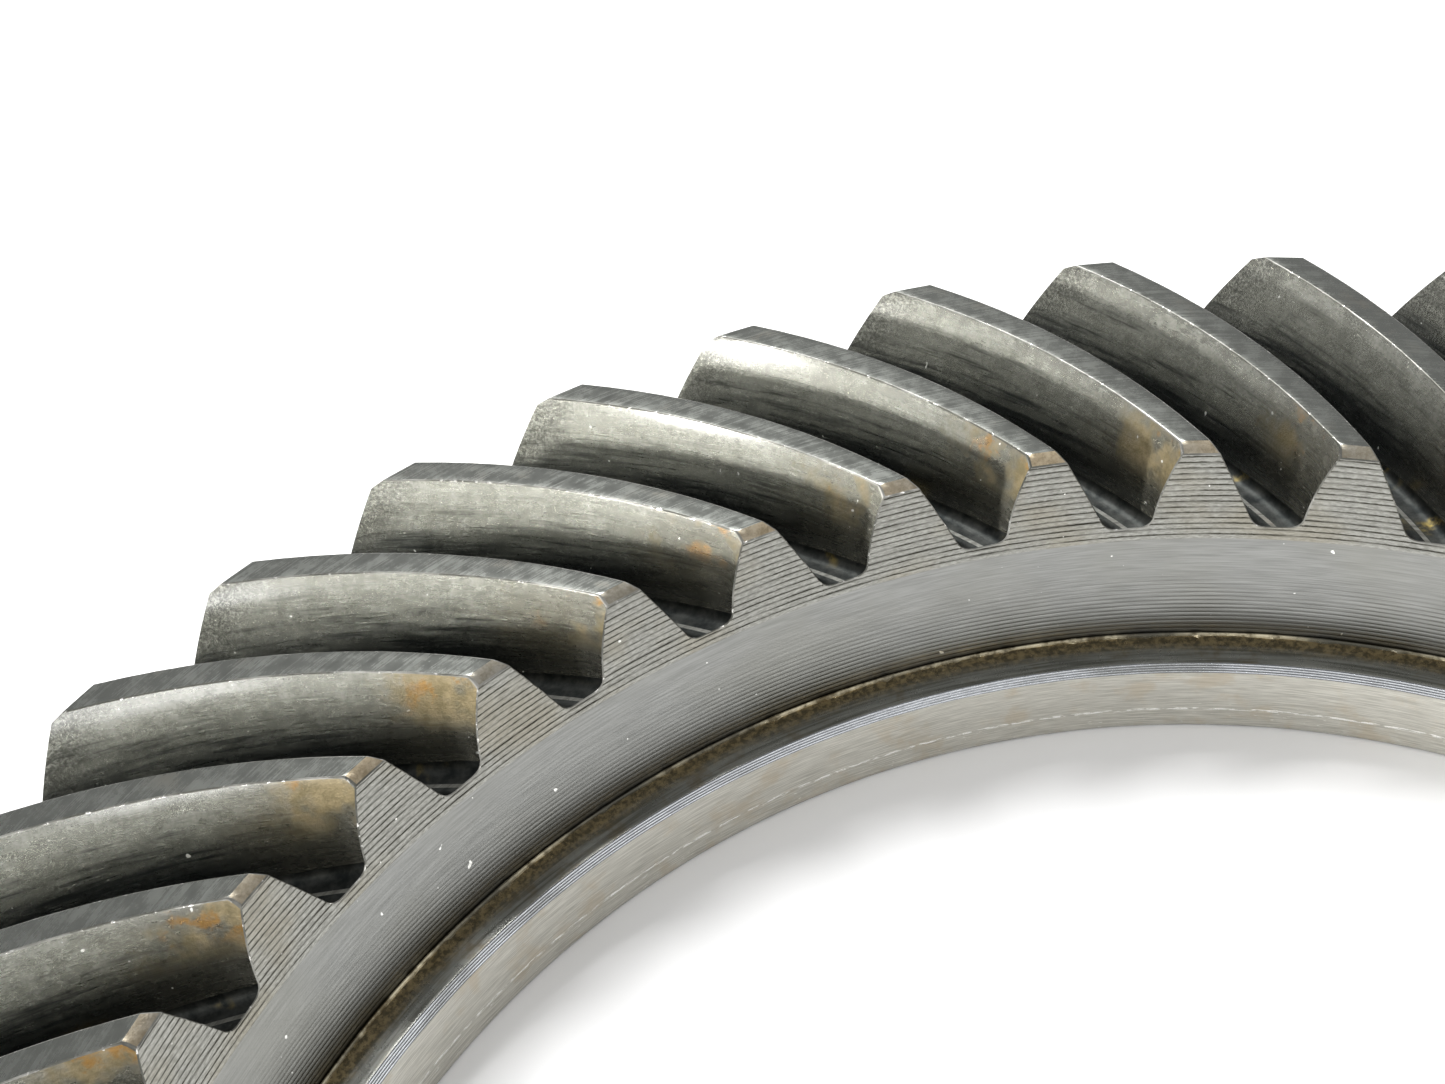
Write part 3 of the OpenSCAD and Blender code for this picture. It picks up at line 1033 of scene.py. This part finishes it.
def ring_chamfer_finish():
    """The chamfer above the pilot bore: a few bright turned lines with dark ones between."""
    g = Graph("pilot_chamfer_steel", Metallic=1.0)
    _, z, c, s = g.round_axis(g.position())
    fine = g.turned(z, c, s, 60, 8.0, detail=3)
    patch = g.turned(z, c, s, 7, 0.5, detail=2)
    wander = g.times(g.minus(fine, 0.5), 0.012)
    depth = g.plus(g.minus(PILOT_H - CHAMFER_DROP, z), wander)
    line = groove_line(g, depth, CHAMFER_LINE, 0.08, 0.22)
    tone = g.blend(g.fade(fine, 0.3, 0.7), (0.62, 0.64, 0.67), (0.82, 0.85, 0.89))
    tone = g.blend(g.times(line, 0.85), tone, (0.07, 0.075, 0.085))
    tone = g.blend(g.fade(patch, 0.52, 0.68, 0.0, 0.45), tone, (0.14, 0.14, 0.12))
    return g.finish(tone, g.fade(fine, 0.3, 0.7, 0.30, 0.18), g.bump(fine, 0.012))


BRIGHT_LINE_H = 2.7


def bore_finish():
    """The ground pilot bore: light warm grey, with fine scratches, painted glints and tan stains.

    One broken line of scratches, painted bright as glints, runs round it at a third of its height.
    """
    g = Graph("pilot_bore_steel", Metallic=0.75)
    position = g.position()
    _, z, c, s = g.round_axis(position)
    fine = g.turned(z, c, s, 26, 9.0, detail=4)
    marks = g.turned(z, c, s, 75, 4.0, detail=2)
    mottle = g.noise(position, 0.22, detail=5, roughness=0.6)
    tone = g.blend(g.fade(fine, 0.3, 0.7), (0.40, 0.388, 0.345), (0.65, 0.635, 0.575))
    tone = g.blend(g.fade(mottle, 0.5, 0.68, 0.0, 0.45), tone, (0.47, 0.385, 0.265))
    # Painted glints: a broken line of them along a scratch at BRIGHT_LINE_H, and scattered ones
    # low in the bore.
    trace = g.fade(g.math("ABSOLUTE", g.minus(z, BRIGHT_LINE_H)), 0.2, 0.1)
    dashes = g.times(trace, g.fade(marks, 0.46, 0.56))
    painted_glint = g.times(g.fade(marks, 0.66, 0.74), g.fade(z, 5.0, 1.5))
    painted_glint = g.math("MAXIMUM", painted_glint, dashes)
    tone = g.blend(painted_glint, tone, (0.95, 0.94, 0.90))
    level = g.fade(fine, 0.3, 0.7, 0.5, 0.38)
    level = g.minus(level, g.times(painted_glint, 0.25))
    relief = g.plus(fine, g.times(painted_glint, 2.0))
    return g.finish(tone, level, g.bump(relief, 0.012))


# Name, light and dark tone, roughness, and how fine and how deep the turned lines are.
TURNED_FINISHES = {
    # Lighter strip along each slot bottom: partly the cutter's track, partly painted reflection.
    "root_track": ("root_track_steel", (0.24, 0.24, 0.22), (0.10, 0.10, 0.09), 0.34, 3.0, 0.01),
    "land": ("land_steel", (0.18, 0.187, 0.172), (0.154, 0.16, 0.148), 0.24, 5.0, 0.006),
    "outside": ("outside_steel", (0.34, 0.34, 0.33), (0.24, 0.24, 0.23), 0.38, 4.0, 0.012),
    "back": ("back_face_steel", (0.42, 0.415, 0.395), (0.30, 0.295, 0.28), 0.34, 4.0, 0.01),
    "thread": ("thread_steel", (0.22, 0.215, 0.20), (0.12, 0.115, 0.105), 0.34, 6.0, 0.01),
}


def make_materials():
    finishes = {
        "toe_cone": toe_cone_finish(),
        "fine_cone": fine_cone_finish(),
        "flank": flank_finish(),
        "root": root_finish(),
        "toe_chamfer": chamfer_finish(),
        "edge": edge_finish(),
        "oil": oil_finish(),
        "ledge": ledge_finish(),
        "pilot_chamfer": ring_chamfer_finish(),
        "pilot_bore": bore_finish(),
    }
    turned = {finish: turned_finish(*values) for finish, values in TURNED_FINISHES.items()}
    return finishes | turned


# ---------------------------------------------------------------- studio
def make_floor():
    """A plain pale floor 0.1 mm below the gear."""
    g = Graph("studio_floor")
    cloud = g.noise(g.position(), 0.05, detail=2)
    g.finish(g.blend(cloud, (0.93, 0.93, 0.93), (0.96, 0.96, 0.96)), 0.9)
    mesh = bpy.data.meshes.new("studio_floor")
    edit = bmesh.new()
    bmesh.ops.create_grid(edit, x_segments=1, y_segments=1, size=2.5)
    edit.to_mesh(mesh)
    edit.free()
    mesh.materials.append(g.material)
    floor = bpy.data.objects.new("studio_floor", mesh)
    floor.location.z = -0.0001
    bpy.context.scene.collection.objects.link(floor)


LIT_PLACE = (0, 0.1, 0.02)  # on the teeth in front of the camera, in metres


def add_light(name, place, size, power, colour=(1, 1, 1)):
    """A square soft light in metres and watts, turned towards the lit place."""
    data = bpy.data.lights.new(name, "AREA")
    data.shape = "RECTANGLE"
    data.size, data.size_y = size
    data.energy = power
    data.color = colour
    lamp = bpy.data.objects.new(name, data)
    lamp.location = place
    lamp.rotation_mode = "QUATERNION"
    lamp.rotation_quaternion = (Vector(LIT_PLACE) - Vector(place)).to_track_quat("-Z", "Y")
    bpy.context.scene.collection.objects.link(lamp)


def toward(azimuth, elevation, distance):
    """The point that far from the lit place in metres, at that bearing and elevation.

    Both angles are in degrees. The bearing is 0 along +Y and grows towards +X.
    """
    a, e = math.radians(azimuth), math.radians(elevation)
    across = distance * math.cos(e)
    x, y, z = LIT_PLACE
    return (x + across * math.sin(a), y + across * math.cos(a), z + distance * math.sin(e))


def make_lights():
    add_light("low_sun", toward(-103.5, 13.5, 1.0), (0.08, 0.08), 4.9, (1.0, 0.985, 0.95))
    add_light("high_softbox", toward(-8, 55, 1.1), (0.45, 0.45), 20)
    add_light("left_fill", toward(-141, 15, 1.1), (0.25, 0.25), 2.2)
    add_light("camera_fill", toward(166, 38, 1.2), (0.3, 0.3), 1.2)
    world = bpy.data.worlds.new("studio_world")
    world.use_nodes = True
    background = world.node_tree.nodes["Background"]
    background.inputs["Color"].default_value = (1, 1, 1, 1)
    background.inputs["Strength"].default_value = 0.57
    bpy.context.scene.world = world


def make_camera():
    """Camera over the bore, looking out across the teeth with a slight roll."""
    place = Vector((-0.02072, -0.04381, 0.16417))
    right = Vector((0.9866, -0.0853, -0.1388))
    up = Vector((0.1580, 0.7103, 0.6859))
    back = Vector((0.0401, -0.6987, 0.7143))
    data = bpy.data.cameras.new("camera")
    data.sensor_width = 36.0
    data.lens = 48.43
    data.clip_start = 0.005
    data.clip_end = 20
    camera = bpy.data.objects.new("camera", data)
    turn = Matrix((right, up, back)).transposed().to_4x4()
    camera.matrix_world = Matrix.Translation(place) @ turn
    bpy.context.scene.collection.objects.link(camera)
    bpy.context.scene.camera = camera


# ---------------------------------------------------------------- assembly
materials = make_materials()
toothed_ring = make_toothed_ring(materials)
pilot_band = make_pilot_ring(materials)
for piece, node, slot in (
    (toothed_ring, "ring_gear", "turned_gear_steel"),
    (pilot_band, "pilot_ring", "ground_steel"),
):
    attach(piece, "root")
    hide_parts(node)

make_floor()
make_lights()
make_camera()
bpy.context.scene.view_settings.view_transform = "Standard"
